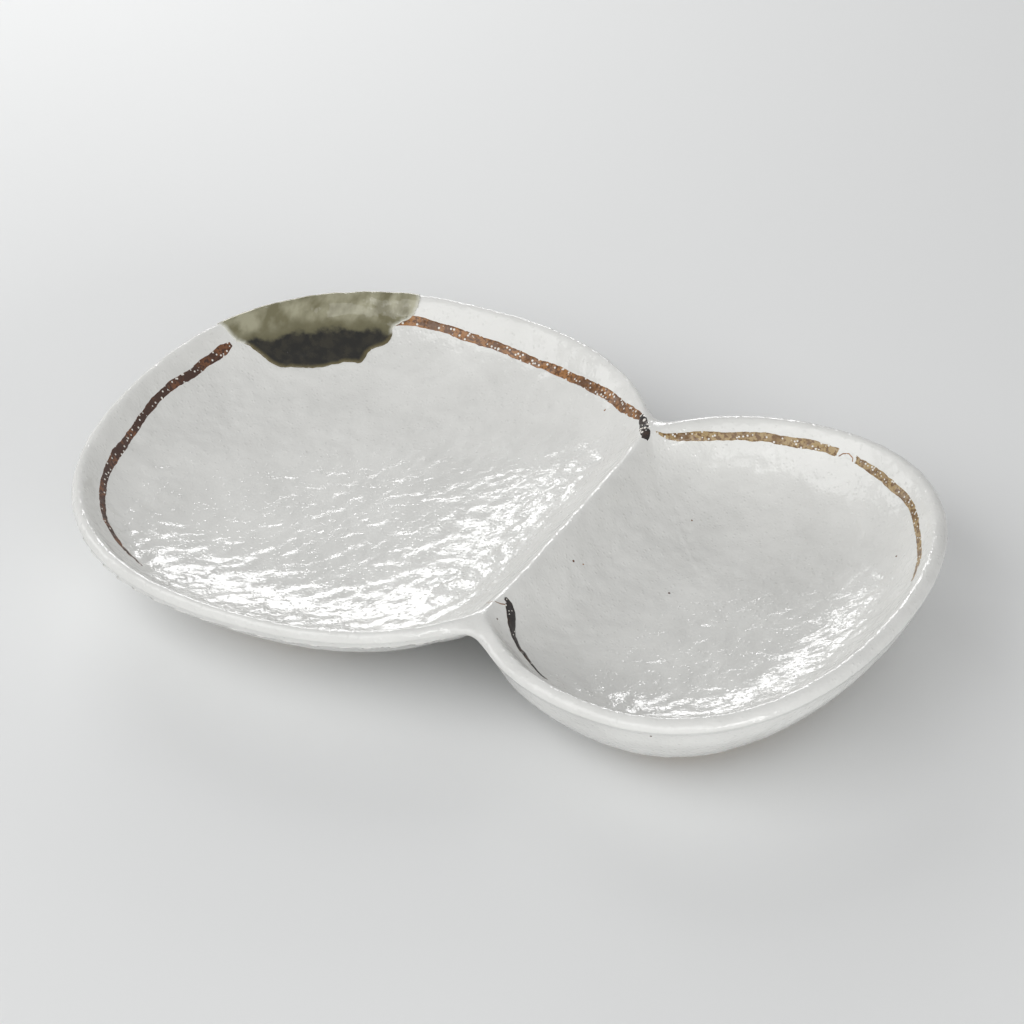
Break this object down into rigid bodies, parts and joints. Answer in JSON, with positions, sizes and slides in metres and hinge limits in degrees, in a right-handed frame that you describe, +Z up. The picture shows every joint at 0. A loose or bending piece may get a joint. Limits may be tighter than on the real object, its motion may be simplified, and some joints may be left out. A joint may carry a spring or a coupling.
{
  "type": "two-compartment serving plate",
  "caption": "Gourd-shaped glazed stoneware plate with a large and a small shallow bowl joined at a low partition, on foot rings.",
  "frame": {"origin": "on the surface that the plate stands on, under the middle of its bounding box", "axes": "+X from the large bowl to the small bowl along the plate's length, +Z up out of the bowls"},
  "size_m": [0.2424, 0.167, 0.0325],
  "materials": {
    "stoneware": "bare fired clay, matte",
    "white_glaze": "milky glaze, glossy with small ripples",
    "green_glaze": "copper green glaze, glossy",
    "iron_oxide": "iron brown brushwork melted into the glaze"
  },
  "bodies": {
    "root": {"clay_body": "stoneware", "foot_ring_large": "stoneware", "foot_ring_small": "stoneware", "white_glaze_coat": "white_glaze", "base_glaze_large": "white_glaze", "base_glaze_small": "white_glaze", "green_glaze_pool": "green_glaze", "iron_line_large_left": "iron_oxide", "iron_line_large_back": "iron_oxide", "iron_line_small": "iron_oxide", "iron_knot_back": "iron_oxide", "iron_drop_front": "iron_oxide"}
  },
  "joints": []
}
